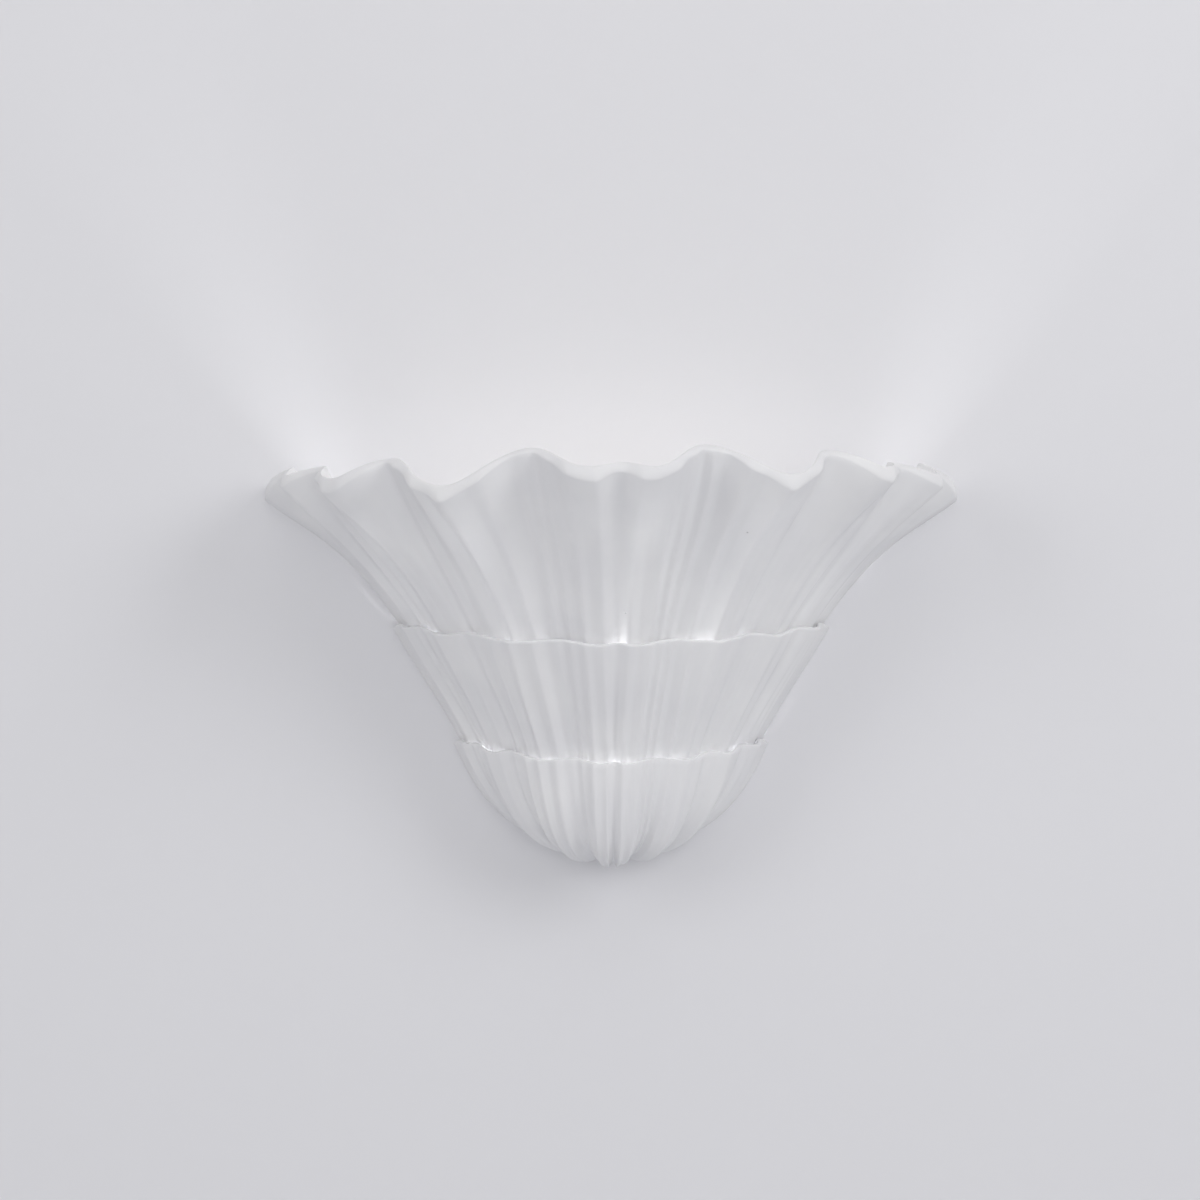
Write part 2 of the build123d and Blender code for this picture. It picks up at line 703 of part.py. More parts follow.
# ---- bulbs: contact tip, screw cap, collar and frosted globe, each turned about the bulb's axis ----
tip_bottom = holder_floor + contact_height
insulator_bottom = tip_bottom + tip_height
thread_bottom = insulator_bottom + insulator_height
thread_top = thread_bottom + thread_turns * thread_pitch
collar_bottom = thread_top + cap_skirt
collar_top = collar_bottom + collar_height
globe_middle = collar_top + sqrt(globe_radius**2 - globe_seat_radius**2)
for name, across in bulb_places.items():
    upright = Plane(origin=(across, -bulb_depth, shelf_height), x_dir=(1, 0, 0), z_dir=(0, -1, 0))
    turning_axis = Axis((across, -bulb_depth, shelf_height), (0, 0, 1))
    with BuildPart() as tip:
        with BuildSketch(upright):
            with BuildLine():
                Polyline(
                    (0, tip_bottom),
                    (0, insulator_bottom),
                    (tip_radius, insulator_bottom),
                    (tip_radius, insulator_bottom - tip_height / 3),
                    (tip_radius - tip_height / 2, tip_bottom),
                    close=True,
                )
            make_face()
        revolve(axis=turning_axis)
    save(tip, f"bulb_tip_{name}")

    with BuildPart() as cap:
        with BuildSketch(upright):
            with BuildLine():
                Polyline(
                    (0, thread_bottom),
                    (0, insulator_bottom),
                    (tip_radius, insulator_bottom),
                    (cap_root_radius, thread_bottom),
                )
                for turn in range(thread_turns):
                    low = thread_bottom + turn * thread_pitch
                    ThreePointArc(
                        (cap_root_radius, low),
                        (cap_crest_radius, low + thread_pitch / 2),
                        (cap_root_radius, low + thread_pitch),
                    )
                Polyline(
                    (cap_root_radius, thread_top),
                    (cap_crest_radius, thread_top),
                    (cap_crest_radius, collar_bottom),
                    (0, collar_bottom),
                    (0, thread_bottom),
                )
            make_face()
        revolve(axis=turning_axis)
    save(cap, f"bulb_cap_{name}")

    with BuildPart() as collar:
        with BuildSketch(upright):
            with BuildLine():
                Polyline(
                    (globe_seat_radius, collar_top),
                    (0, collar_top),
                    (0, collar_bottom),
                    (0.75 * collar_radius, collar_bottom),
                )
                Bezier(
                    (0.75 * collar_radius, collar_bottom),
                    (collar_radius, collar_bottom + 0.2 * collar_height),
                    (collar_radius, collar_bottom + 0.6 * collar_height),
                    (globe_seat_radius, collar_top),
                )
            make_face()
        revolve(axis=turning_axis)
    save(collar, f"bulb_collar_{name}")

    with BuildPart() as globe:
        with BuildSketch(upright):
            with Locations((0, globe_middle)):
                Circle(globe_radius)
                Circle(globe_radius - globe_wall, mode=Mode.SUBTRACT)
            with Locations((-globe_radius, globe_middle)):
                Rectangle(2 * globe_radius, 4 * globe_radius, mode=Mode.SUBTRACT)
            with Locations((0, collar_top - globe_radius)):
                Rectangle(4 * globe_radius, 2 * globe_radius, mode=Mode.SUBTRACT)
        revolve(axis=turning_axis)
    save(globe, f"bulb_globe_{name}")

# ---- internal leads from the terminal block to the lampholders' rear terminals ----
block_under = block_z - block_height / 2
lead_height = shelf_height + terminal_box_height / 2
box_face = -bulb_depth + box_back
pair = lead_pair_gap / 2
terminal = terminal_box_width / 4
lead_routes = {
    "right_live": [
        (poles["live"] + pair, block_middle, block_under),
        (poles["live"] + pair, block_middle, block_under - 12),
        (bulb_places["right"] - terminal, block_middle - lead_forward, lead_height),
        (bulb_places["right"] - terminal, box_face, lead_height),
    ],
    "right_neutral": [
        (poles["neutral"] + pair, block_middle, block_under),
        (poles["neutral"] + pair, block_middle, block_under - 12),
        (bulb_places["right"] + terminal, block_middle - lead_forward, lead_height),
        (bulb_places["right"] + terminal, box_face, lead_height),
    ],
    "left_live": [
        (poles["live"] - pair, block_middle, block_under),
        (poles["live"] - pair, block_middle, block_under - 7),
        (1, -11, -20.5),
        (-36, -12, -22),
        (bulb_places["left"] - terminal, -18, lead_height),
        (bulb_places["left"] - terminal, box_face, lead_height),
    ],
    "left_neutral": [
        (poles["neutral"] - pair, block_middle, block_under),
        (poles["neutral"] - pair, block_middle, block_under - 6),
        (38, -15.5, -21),
        (8, -16, -22.5),
        (-30, -17, -24),
        (bulb_places["left"] + terminal, -20, lead_height),
        (bulb_places["left"] + terminal, box_face, lead_height),
    ],
}


def lead_bends(points):
    """Largest tangent arc that each corner's two runs leave room for."""
    radii = []
    for before, corner, after in zip(points, points[1:], points[2:]):
        into, out = Vector(*corner) - Vector(*before), Vector(*after) - Vector(*corner)
        turn = radians(into.get_angle(out))
        radii.append(0.45 * min(into.length, out.length) / tan(turn / 2))
    return radii


for name, route in lead_routes.items():
    bends = lead_bends(route)
    print(name, "bend radii", [round(radius, 1) for radius in bends])
    with BuildPart() as lead:
        with BuildLine():
            path = FilletPolyline(*route, radius=bends)
        start = Plane(origin=path @ 0, z_dir=path % 0)
        with BuildSketch(start):
            Circle(lead_radius)
        sweep(path=path)
    full = pi * lead_radius**2 * path.length
    print(name, "length", round(path.length, 1), "fill", round(lead.part.volume / full, 4))
    save(lead, f"lead_{name}")
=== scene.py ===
import bpy
import bmesh
import math
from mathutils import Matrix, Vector, noise


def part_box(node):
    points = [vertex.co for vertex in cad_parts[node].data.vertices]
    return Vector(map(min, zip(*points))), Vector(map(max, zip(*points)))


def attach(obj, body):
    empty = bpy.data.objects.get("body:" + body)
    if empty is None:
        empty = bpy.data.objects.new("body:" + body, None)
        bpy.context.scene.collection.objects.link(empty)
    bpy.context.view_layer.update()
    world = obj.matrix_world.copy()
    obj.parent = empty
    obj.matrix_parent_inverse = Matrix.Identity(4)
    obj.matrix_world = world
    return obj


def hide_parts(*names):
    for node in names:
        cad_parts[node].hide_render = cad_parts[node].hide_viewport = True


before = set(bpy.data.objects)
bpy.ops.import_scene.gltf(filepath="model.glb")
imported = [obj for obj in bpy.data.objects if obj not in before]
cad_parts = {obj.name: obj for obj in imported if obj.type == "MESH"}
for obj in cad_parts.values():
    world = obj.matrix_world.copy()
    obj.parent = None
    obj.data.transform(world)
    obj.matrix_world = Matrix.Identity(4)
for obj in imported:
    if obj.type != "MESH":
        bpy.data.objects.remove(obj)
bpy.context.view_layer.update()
print("frame loaded:", len(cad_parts), "nodes")

mm = 0.001
weldDistance = 0.002 * mm
scene = bpy.context.scene
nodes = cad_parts


def linearColour(hexText):
    # sRGB hex to the linear values that a shader takes
    channels = [int(hexText[i:i + 2], 16) / 255 for i in (1, 3, 5)]
    linear = [c / 12.92 if c <= 0.04045 else ((c + 0.055) / 1.055) ** 2.4 for c in channels]
    return (*linear, 1.0)


def addNode(material, kind, settings=None, inputs=None, links=None):
    # settings go on the node, inputs on its sockets, and links join sockets of earlier nodes to it
    node = material.node_tree.nodes.new(kind)
    for name, value in (settings or {}).items():
        setattr(node, name, value)
    for name, value in (inputs or {}).items():
        node.inputs[name].default_value = value
    for name, source in (links or {}).items():
        material.node_tree.links.new(source, node.inputs[name])
    return node


def newMaterial(name):
    material = bpy.data.materials.new(name)
    material.use_nodes = True
    material.node_tree.nodes.clear()
    return material


def perMetre(sizeInMm):
    # pattern scale in object space, from the real size of one feature
    return 1 / (sizeInMm * mm)


def cloudTone(material, cloud, tones):
    # the first tone on the clouds' crests, the second in their hollows
    share = addNode(material, "ShaderNodeMapRange", inputs={"From Min": 0.35, "From Max": 0.65},
                    links={"Value": cloud})
    tone = addNode(material, "ShaderNodeMix", settings={"data_type": "RGBA"},
                   inputs={"A": linearColour(tones[1]), "B": linearColour(tones[0])},
                   links={"Factor": share.outputs["Result"]})
    return tone.outputs["Result"]


def cloudRoughness(material, cloud, rough):
    # smoother in the clouds' hollows, rougher on their crests
    spread = addNode(material, "ShaderNodeMapRange",
                     inputs={"From Min": 0.3, "From Max": 0.7, "To Min": rough[0], "To Max": rough[1]},
                     links={"Value": cloud})
    return spread.outputs["Result"]


# Sizes and depths in mm. The real sanded grain is about 0.3 mm: it is drawn coarser so that it shows.
plasterLook = {
    "tones": ("#e8e8e9", "#e3e3e5"), "cloud": 45, "rough": (0.72, 0.85), "ior": 1.45, "specular": 0.3,
    "grain": 1.1, "grainDepth": 0.06, "pinholeSpacing": 26, "pinholeWidth": 0.35, "pinholeDepth": 0.3,
    "pinholeShade": 0.35,
}


def castPlaster():
    # Cast gypsum plaster, sealed matt white: no gloss, faint cloudy tone from uneven drying,
    # a fine sanded grain and a few pinholes that air left in the mould, each darkened with painted shade.
    look = plasterLook
    material = newMaterial("castPlaster")
    place = addNode(material, "ShaderNodeTexCoord").outputs["Object"]
    cloud = addNode(material, "ShaderNodeTexNoise", inputs={"Scale": perMetre(look["cloud"]), "Detail": 3.0},
                    links={"Vector": place}).outputs["Fac"]
    grain = addNode(material, "ShaderNodeTexNoise",
                    inputs={"Scale": perMetre(look["grain"]), "Detail": 4.0, "Roughness": 0.6},
                    links={"Vector": place})
    holes = addNode(material, "ShaderNodeTexVoronoi", inputs={"Scale": perMetre(look["pinholeSpacing"])},
                    links={"Vector": place})
    edge = look["pinholeWidth"] / look["pinholeSpacing"]
    pit = addNode(material, "ShaderNodeMapRange", inputs={"From Min": edge, "From Max": 2 * edge},
                  links={"Value": holes.outputs["Distance"]}).outputs["Result"]
    # painted shade: the colour is multiplied darker inside each pinhole, where shade would fall
    tone = addNode(material, "ShaderNodeMix", settings={"data_type": "RGBA", "blend_type": "MULTIPLY"},
                   inputs={"Factor": look["pinholeShade"]},
                   links={"A": cloudTone(material, cloud, look["tones"]), "B": pit})
    sanded = addNode(material, "ShaderNodeBump",
                     inputs={"Strength": 0.25, "Distance": look["grainDepth"] * mm},
                     links={"Height": grain.outputs["Fac"]})
    pitted = addNode(material, "ShaderNodeBump",
                     inputs={"Strength": 0.8, "Distance": look["pinholeDepth"] * mm},
                     links={"Height": pit, "Normal": sanded.outputs["Normal"]})
    shader = addNode(material, "ShaderNodeBsdfPrincipled",
                     inputs={"IOR": look["ior"], "Specular IOR Level": look["specular"]},
                     links={"Base Color": tone.outputs["Result"], "Normal": pitted.outputs["Normal"],
                            "Roughness": cloudRoughness(material, cloud, look["rough"])})
    addNode(material, "ShaderNodeOutputMaterial", links={"Surface": shader.outputs["BSDF"]})
    return material


plaster = castPlaster()

# Each look: two tones and the size of their clouds, roughness range, size and depth of the fine grain,
# and how far the grain is drawn out along X, Y and Z where a tool or a roller left lines. Sizes in mm.
# The real grains are finer than these and would not show.
looks = {
    # Satin polyester powder coat on steel: slight orange peel, soft reflections.
    "powderCoatedSteel": {
        "tones": ("#e0dfdb", "#d9d8d4"), "cloud": 30, "rough": (0.34, 0.44), "grain": 1.4, "depth": 0.05,
        "draw": (1, 1, 1), "metallic": 0.0, "ior": 1.5},
    # Bright zinc plate, clear passivated: pale grey metal, cloudy blue-grey bloom, fine drawing lines.
    "zincPlatedSteel": {
        "tones": ("#c3c6ca", "#aeb4bc"), "cloud": 6, "rough": (0.26, 0.42), "grain": 0.5, "depth": 0.02,
        "draw": (1, 1, 0.2), "metallic": 1.0, "ior": 1.5},
    # Turned brass, slightly dulled: warm metal, brown bloom in patches, fine turning lines.
    "turnedBrass": {
        "tones": ("#cfa45a", "#b08542"), "cloud": 5, "rough": (0.24, 0.4), "grain": 0.4, "depth": 0.02,
        "draw": (0.2, 0.2, 1), "metallic": 1.0, "ior": 1.5},
    # Nickel plated brass: warm silver, smooth, with faint rubbed patches.
    "nickelPlate": {
        "tones": ("#cdc9c0", "#b9b4aa"), "cloud": 5, "rough": (0.16, 0.3), "grain": 0.5, "depth": 0.01,
        "draw": (0.2, 0.2, 1), "metallic": 1.0, "ior": 1.5},
    # Moulded chloroprene rubber: near black, matt, with a dry fine grain.
    "mouldedRubber": {
        "tones": ("#1b1b1c", "#131314"), "cloud": 8, "rough": (0.62, 0.78), "grain": 0.35, "depth": 0.03,
        "draw": (1, 1, 1), "metallic": 0.0, "ior": 1.52},
    # Natural polyamide: milky, slightly waxy, with an eroded mould texture.
    "naturalNylon": {
        "tones": ("#dedacd", "#d5d0c2"), "cloud": 12, "rough": (0.42, 0.55), "grain": 0.5, "depth": 0.03,
        "draw": (1, 1, 1), "metallic": 0.0, "ior": 1.53},
    # Moulded white polyester for lampholders: glossier, a little cool, with faint flow marks.
    "mouldedPolyester": {
        "tones": ("#e4e4e1", "#dcdcd8"), "cloud": 16, "rough": (0.24, 0.34), "grain": 1.8, "depth": 0.02,
        "draw": (1, 1, 0.4), "metallic": 0.0, "ior": 1.55},
    # White polycarbonate housing of a bulb: satin, with a spark-eroded grain.
    "satinPolycarbonate": {
        "tones": ("#e6e5e2", "#dfdedb"), "cloud": 14, "rough": (0.38, 0.5), "grain": 0.45, "depth": 0.02,
        "draw": (1, 1, 1), "metallic": 0.0, "ior": 1.58},
    # Black glass between a cap's shell and its contact: glossy and dense.
    "blackGlass": {
        "tones": ("#17161a", "#0f0e12"), "cloud": 4, "rough": (0.08, 0.16), "grain": 1.2, "depth": 0.02,
        "draw": (1, 1, 1), "metallic": 0.0, "ior": 1.6},
    # Extruded vinyl insulation, brown on the live leads, blue on the neutral ones: satin, faint die lines.
    "brownInsulation": {
        "tones": ("#5a3420", "#4c2b19"), "cloud": 10, "rough": (0.36, 0.48), "grain": 0.5, "depth": 0.02,
        "draw": (0.3, 1, 1), "metallic": 0.0, "ior": 1.52},
    "blueInsulation": {
        "tones": ("#2b5fa8", "#235293"), "cloud": 10, "rough": (0.36, 0.48), "grain": 0.5, "depth": 0.02,
        "draw": (0.3, 1, 1), "metallic": 0.0, "ior": 1.52},
}


def finishOf(name):
    look = looks[name]
    material = newMaterial(name)
    place = addNode(material, "ShaderNodeTexCoord").outputs["Object"]
    cloud = addNode(material, "ShaderNodeTexNoise", inputs={"Scale": perMetre(look["cloud"]), "Detail": 3.0},
                    links={"Vector": place}).outputs["Fac"]
    drawn = addNode(material, "ShaderNodeMapping", inputs={"Scale": look["draw"]}, links={"Vector": place})
    grain = addNode(material, "ShaderNodeTexNoise", inputs={"Scale": perMetre(look["grain"]), "Detail": 2.0},
                    links={"Vector": drawn.outputs["Vector"]})
    bump = addNode(material, "ShaderNodeBump", inputs={"Strength": 0.5, "Distance": look["depth"] * mm},
                   links={"Height": grain.outputs["Fac"]})
    shader = addNode(material, "ShaderNodeBsdfPrincipled",
                     inputs={"Metallic": look["metallic"], "IOR": look["ior"]},
                     links={"Base Color": cloudTone(material, cloud, look["tones"]),
                            "Roughness": cloudRoughness(material, cloud, look["rough"]),
                            "Normal": bump.outputs["Normal"]})
    addNode(material, "ShaderNodeOutputMaterial", links={"Surface": shader.outputs["BSDF"]})
    return material


globeLook = {
    "tones": ("#f2f0ea", "#ebe8e0"), "cloud": 9, "rough": 0.45, "ior": 1.58, "grain": 0.3, "depth": 0.02,
    "light": "#fff6ea", "strength": 2.4,
}


def frostedGlobe():
    # Frosted polycarbonate diffuser, lit from inside: even milky glow, satin skin with a fine etched grain.
    look = globeLook
    material = newMaterial("frostedGlobe")
    place = addNode(material, "ShaderNodeTexCoord").outputs["Object"]
    cloud = addNode(material, "ShaderNodeTexNoise", inputs={"Scale": perMetre(look["cloud"]), "Detail": 2.0},
                    links={"Vector": place}).outputs["Fac"]
    grain = addNode(material, "ShaderNodeTexNoise", inputs={"Scale": perMetre(look["grain"]), "Detail": 2.0},
                    links={"Vector": place})
    bump = addNode(material, "ShaderNodeBump", inputs={"Strength": 0.3, "Distance": look["depth"] * mm},
                   links={"Height": grain.outputs["Fac"]})
    shader = addNode(material, "ShaderNodeBsdfPrincipled",
                     inputs={"Roughness": look["rough"], "IOR": look["ior"],
                             "Emission Color": linearColour(look["light"]),
                             "Emission Strength": look["strength"]},
                     links={"Base Color": cloudTone(material, cloud, look["tones"]),
                            "Normal": bump.outputs["Normal"]})
    addNode(material, "ShaderNodeOutputMaterial", links={"Surface": shader.outputs["BSDF"]})
    return material


finishes = {name: finishOf(name) for name in looks}
globeGlow = frostedGlobe()
print("materials made")


def makeObject(name, points, faces, material, body, sharpAngle, replaced=()):
    mesh = bpy.data.meshes.new(name)
    mesh.from_pydata(points, [], faces)
    welded = bmesh.new()
    welded.from_mesh(mesh)
    bmesh.ops.remove_doubles(welded, verts=welded.verts, dist=weldDistance)
    bmesh.ops.recalc_face_normals(welded, faces=welded.faces)
    welded.to_mesh(mesh)
    welded.free()
    mesh.shade_smooth()
    mesh.set_sharp_from_angle(angle=math.radians(sharpAngle))
    mesh.materials.append(material)
    piece = bpy.data.objects.new(name, mesh)
    scene.collection.objects.link(piece)
    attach(piece, body)
    if replaced:
        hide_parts(*replaced)


def joinLoops(loops):
    # faces between equal closed loops of points, and a cap on the first and the last loop
    count = len(loops[0])
    points = [point for loop in loops for point in loop]
    faces = []
    for i in range(len(loops) - 1):
        here, there = i * count, (i + 1) * count
        for j in range(count):
            k = (j + 1) % count
            faces.append((here + j, here + k, there + k, there + j))
    faces.append(tuple(range(count)))
    faces.append(tuple(range(len(points) - count, len(points))))
    return points, faces


def turnedLoops(pairs, centre, segments):
    # loops of a piece turned about an upright axis, from (radius, height) pairs in metres
    turns = [2 * math.pi * k / segments for k in range(segments)]
    return [
        [(centre[0] + radius * math.cos(turn), centre[1] + radius * math.sin(turn), height) for turn in turns]
        for radius, height in pairs
    ]


# The shell repeats the cast shape of the frame's three tier nodes, in millimetres, with finer relief.
# Heights are counted from its lowest point. Angles are counted from the front, to the right.
shell = {
    "halfWidth": 218.0, "depthRatio": 0.85, "drop": 135.0,
    # plaster thickness in the body and where it is thicker or thinner, then the rim face's lean and height
    "plasterWall": 6.5, "rimWall": 9.0, "footWall": 4.0, "lipWall": 3.0, "neckWall": 4.5,
    "rimFace": (2.0, 10.5),
    # half width and height of the two lower tiers' rims, and of the point where the bowl starts
    "lowerRim": (99.3, 77.0), "middleRim": (137.8, 149.5), "button": (6.0, 10.0),
    # each foot stands this far inside the lip of the tier below, and starts this far below the lip's edge
    "slotGap": 2.0, "slotOverlap": 8.0,
    # a slot lies lower at the front and rises a little in each fold
    "slotDrop": 10.0, "slotWave": 2.6,
    "foldDepth": 4.0, "rimFoldDepth": 15.0, "bowlFoldDepth": 7.0, "bowlFoldRise": 9.0, "foldSharpness": 1.6,
    # how much of the step from foldDepth to rimFoldDepth the upper tier has at each point of its profile
    "foldGrowth": (0, 0.15, 0.4, 0.7, 1),
    # the edge's rounded nose: how far its handles stand out, and how far along its chord, as shares of it
    "noseShare": 0.22, "noseTaper": 0.04,
    "angleStep": 0.4, "outerSteps": 48, "innerSteps": 24, "noseSteps": 8, "slopeReach": 0.01,
    "sharpAngle": 50,
    # handles of each profile between its foot and its rim, as shares of its width and height
    "lowerWallHandles": [(0.386, 0.03), (0.7, 0.16), (0.874, 0.594)],
    "lowerFrontHandles": [(0.386, -0.245), (0.772, -0.315), (0.879, 0.36)],
    "middleHandles": [(0.265, 0.34), (0.66, 0.655)],
    "bulgeHandles": [(0.15, 0.25), (0.46, 0.72), (0.72, 0.78)],
    "foldHandles": [(0.14, 0.22), (0.5, 0.5), (0.8, 0.77)],
    # folds round the rim: angle, height of the outer edge, 0 on a bulge to 1 in a fold
    "rimStations": [
        (-90, 230, 0), (-80, 244, 0.8), (-71, 236, 0.4), (-64, 244.5, 1), (-50.5, 230, 0), (-42, 247.5, 1),
        (-27.3, 224, 0), (-14, 252.5, 1), (-3.6, 234.5, 0), (2, 239, 0.4), (6.4, 234.5, 0), (16.2, 254.5, 1),
        (29.3, 231, 0), (41.2, 252.5, 1), (49, 237, 0), (60, 246.5, 1), (70, 236, 0.3), (79, 248, 1),
        (90, 230, 0),
    ],
}

# The flutes sink between fine ridges, and lines of the modelling tool run along them. Depths and lengths are
# in mm, and lineAngle is the lines' spacing in degrees.
relief = {
    "fluteDepth": 1.5, "ridgeSharpness": 0.75, "lineDepth": 0.7, "lineAngle": 2.6, "lineLength": 90.0,
    # the ridges wander by this many degrees over so many degrees and millimetres
    "wander": 0.9, "wanderAngle": 14.0, "wanderLength": 70.0,
    "wanderSeed": 4.2, "lineSeed": 9.1, "wallFade": 0.25,
    # share of the relief at the foot, half way up and at the rim
    "lowerShares": (0.0, 1.0, 0.65), "middleShares": (1.0, 1.0, 0.65), "upperShares": (1.0, 1.3, 1.55),
    # crests of the ridges: angle, and how deep the groove to its right is as a share of the flute depth
    "ridges": [
        (-90, 0.6), (-80, 0.8), (-72, 1.3), (-65, 1.2), (-59, 1.1), (-53, 0.9), (-45, 0.7), (-40, 0.6),
        (-34, 1.3), (-28, 1.4), (-21, 1.0), (-14.5, 0.6), (-11, 0.7), (-7, 0.8), (-2, 1.7), (4.5, 1.1),
        (11, 0.7), (14, 0.7), (17, 1.5), (22, 1.7), (29, 0.9), (35.5, 0.9), (42, 0.7), (49.5, 0.8),
        (56, 0.6), (64, 0.6), (72, 0.6), (81, 0.5), (90, 0),
    ],
}


def atRim(angle, column):
    # a column of the rim's stations: flat at each station and smooth between them
    stations = shell["rimStations"]
    for here, there in zip(stations, stations[1:]):
        if angle <= there[0]:
            share = (angle - here[0]) / (there[0] - here[0])
            return here[column] + (there[column] - here[column]) * (1 - math.cos(math.pi * share)) / 2
    return stations[-1][column]


def rimHeightAt(angle):
    return atRim(angle, 1)


def foldAt(angle):
    return atRim(angle, 2)


def profile(foot, rim, handles):
    wide, tall = rim[0] - foot[0], rim[1] - foot[1]
    return [foot, *[(foot[0] + wide * across, foot[1] + tall * up) for across, up in handles], rim]


def curvePoint(points, share):
    while len(points) > 1:
        points = [
            (a[0] + (b[0] - a[0]) * share, a[1] + (b[1] - a[1]) * share) for a, b in zip(points, points[1:])
        ]
    return points[0]


def halfWidthAt(points, height):
    # the profile's half width at a height, found by halving the stretch that holds it
    low, high, halvings = 0.0, 1.0, 40
    for _ in range(halvings):
        middle = (low + high) / 2
        if curvePoint(points, middle)[1] < height:
            low = middle
        else:
            high = middle
    return curvePoint(points, low)[0]


def endSlope(points):
    return (points[-1][0] - points[-2][0]) / (points[-1][1] - points[-2][1])


def footInside(points, rimHeight):
    # the foot of the next tier: inside this one's lip and a little below it
    height = rimHeight - shell["slotOverlap"]
    slant = math.hypot(1, endSlope(points))
    return (halfWidthAt(points, height) - (shell["lipWall"] + shell["slotGap"]) * slant, height)


lowerProfile = profile(shell["button"], shell["lowerRim"], shell["lowerWallHandles"])
middleFoot = footInside(lowerProfile, shell["lowerRim"][1])
middleProfile = profile(middleFoot, shell["middleRim"], shell["middleHandles"])
upperFoot = footInside(middleProfile, shell["middleRim"][1])


def slotShift(points, angle):
    rise = shell["slotWave"] * foldAt(angle) - shell["slotDrop"] * math.cos(math.radians(angle)) ** 2
    return (endSlope(points) * rise, rise)


def moved(point, shift):
    return (point[0] + shift[0], point[1] + shift[1])


def blended(first, second, share):
    return [(a[0] + (b[0] - a[0]) * share, a[1] + (b[1] - a[1]) * share) for a, b in zip(first, second)]


# Each tier's radial section at an angle: profile points, how far a fold draws each one in and lifts it,
# the wall behind it, the relief, and 1 where the rim ends in an upright face.

def lowerSection(angle):
    front = math.cos(math.radians(angle)) ** 2
    handles = blended(shell["lowerWallHandles"], shell["lowerFrontHandles"], front)
    rim = moved(shell["lowerRim"], slotShift(lowerProfile, angle))
    body, bowl, rise = shell["foldDepth"], shell["bowlFoldDepth"], shell["bowlFoldRise"]
    wall = shell["plasterWall"]
    return {
        "points": profile(shell["button"], rim, handles),
        "folds": (0, body, bowl, body, body), "rises": (0, rise, rise, 0, 0),
        "walls": (shell["rimWall"], wall, wall, shell["neckWall"], shell["lipWall"]),
        "relief": relief["lowerShares"], "upright": 0.0,
    }


def middleSection(angle):
    foot = moved(middleFoot, slotShift(lowerProfile, angle))
    rim = moved(shell["middleRim"], slotShift(middleProfile, angle))
    return {
        "points": profile(foot, rim, shell["middleHandles"]),
        "folds": (shell["foldDepth"],) * 4, "rises": (0,) * 4,
        "walls": (shell["footWall"], shell["plasterWall"], shell["neckWall"], shell["lipWall"]),
        "relief": relief["middleShares"], "upright": 0.0,
    }


def upperSection(angle):
    foot = moved(upperFoot, slotShift(middleProfile, angle))
    rim = (shell["halfWidth"], rimHeightAt(angle))
    handles = blended(shell["bulgeHandles"], shell["foldHandles"], foldAt(angle))
    growth = shell["rimFoldDepth"] - shell["foldDepth"]
    return {
        "points": profile(foot, rim, handles),
        "folds": [shell["foldDepth"] + growth * share for share in shell["foldGrowth"]],
        "rises": (0,) * 5,
        "walls": (shell["footWall"], *[shell["plasterWall"]] * 3, shell["rimWall"]),
        "relief": relief["upperShares"], "upright": 1 - foldAt(angle),
    }


def smoothNoise(x, y, z):
    return noise.noise(Vector((x, y, z)))


def grooveAt(angle):
    ridges = relief["ridges"]
    for (here, depth), (there, _) in zip(ridges, ridges[1:]):
        if angle <= there:
            wave = (1 - math.cos(2 * math.pi * (angle - here) / (there - here))) / 2
            return depth * wave ** relief["ridgeSharpness"]
    return 0.0


def reliefAt(angle, height):
    # how far the outer surface sinks below the ridges; the wander and the lines fade out at the wall
    fade = math.cos(math.radians(angle)) ** relief["wallFade"] if abs(angle) < 90 else 0.0
    drift = smoothNoise(angle / relief["wanderAngle"], height / relief["wanderLength"], relief["wanderSeed"])
    turned = min(90.0, max(-90.0, angle + relief["wander"] * drift * fade))
    flute = grooveAt(turned) * relief["fluteDepth"]
    line = 0.5 - smoothNoise(turned / relief["lineAngle"], height / relief["lineLength"], relief["lineSeed"])
    return flute + relief["lineDepth"] * max(0.0, line) * fade


def insetPoints(points, walls):
    # the inner profile: each point moved square to the profile by its wall
    result = []
    for index, (r, h) in enumerate(points):
        before, after = points[max(index - 1, 0)], points[min(index + 1, len(points) - 1)]
        along = (after[0] - before[0], after[1] - before[1])
        size = math.hypot(*along)
        result.append((r - along[1] / size * walls[index], h + along[0] / size * walls[index]))
    return result


def outerLine(folded, angle, shares):
    # the smooth profile, sunk square to itself by the relief
    line = []
    low, middle, high = shares
    reach = shell["slopeReach"]
    for step in range(shell["outerSteps"] + 1):
        share = step / shell["outerSteps"]
        here = curvePoint(folded, share)
        behind, ahead = curvePoint(folded, max(share - reach, 0)), curvePoint(folded, min(share + reach, 1))
        along = (ahead[0] - behind[0], ahead[1] - behind[1])
        size = math.hypot(*along)
        if share < 0.5:
            strength = low + (middle - low) * 2 * share
        else:
            strength = middle + (high - middle) * (2 * share - 1)
        sink = strength * reliefAt(angle, here[1])
        line.append((here[0] - along[1] / size * sink, here[1] + along[0] / size * sink))
    return line


def roundedEdge(start, end):
    # the rounded nose between the outer and the inner face
    chord = (end[0] - start[0], end[1] - start[1])
    swell, taper, steps = shell["noseShare"], shell["noseTaper"], shell["noseSteps"]
    handles = [
        (start[0] + chord[0] * along + chord[1] * swell, start[1] + chord[1] * along - chord[0] * swell)
        for along in (taper, 1 - taper)
    ]
    return [curvePoint([start, *handles, end], step / steps) for step in range(1, steps)]


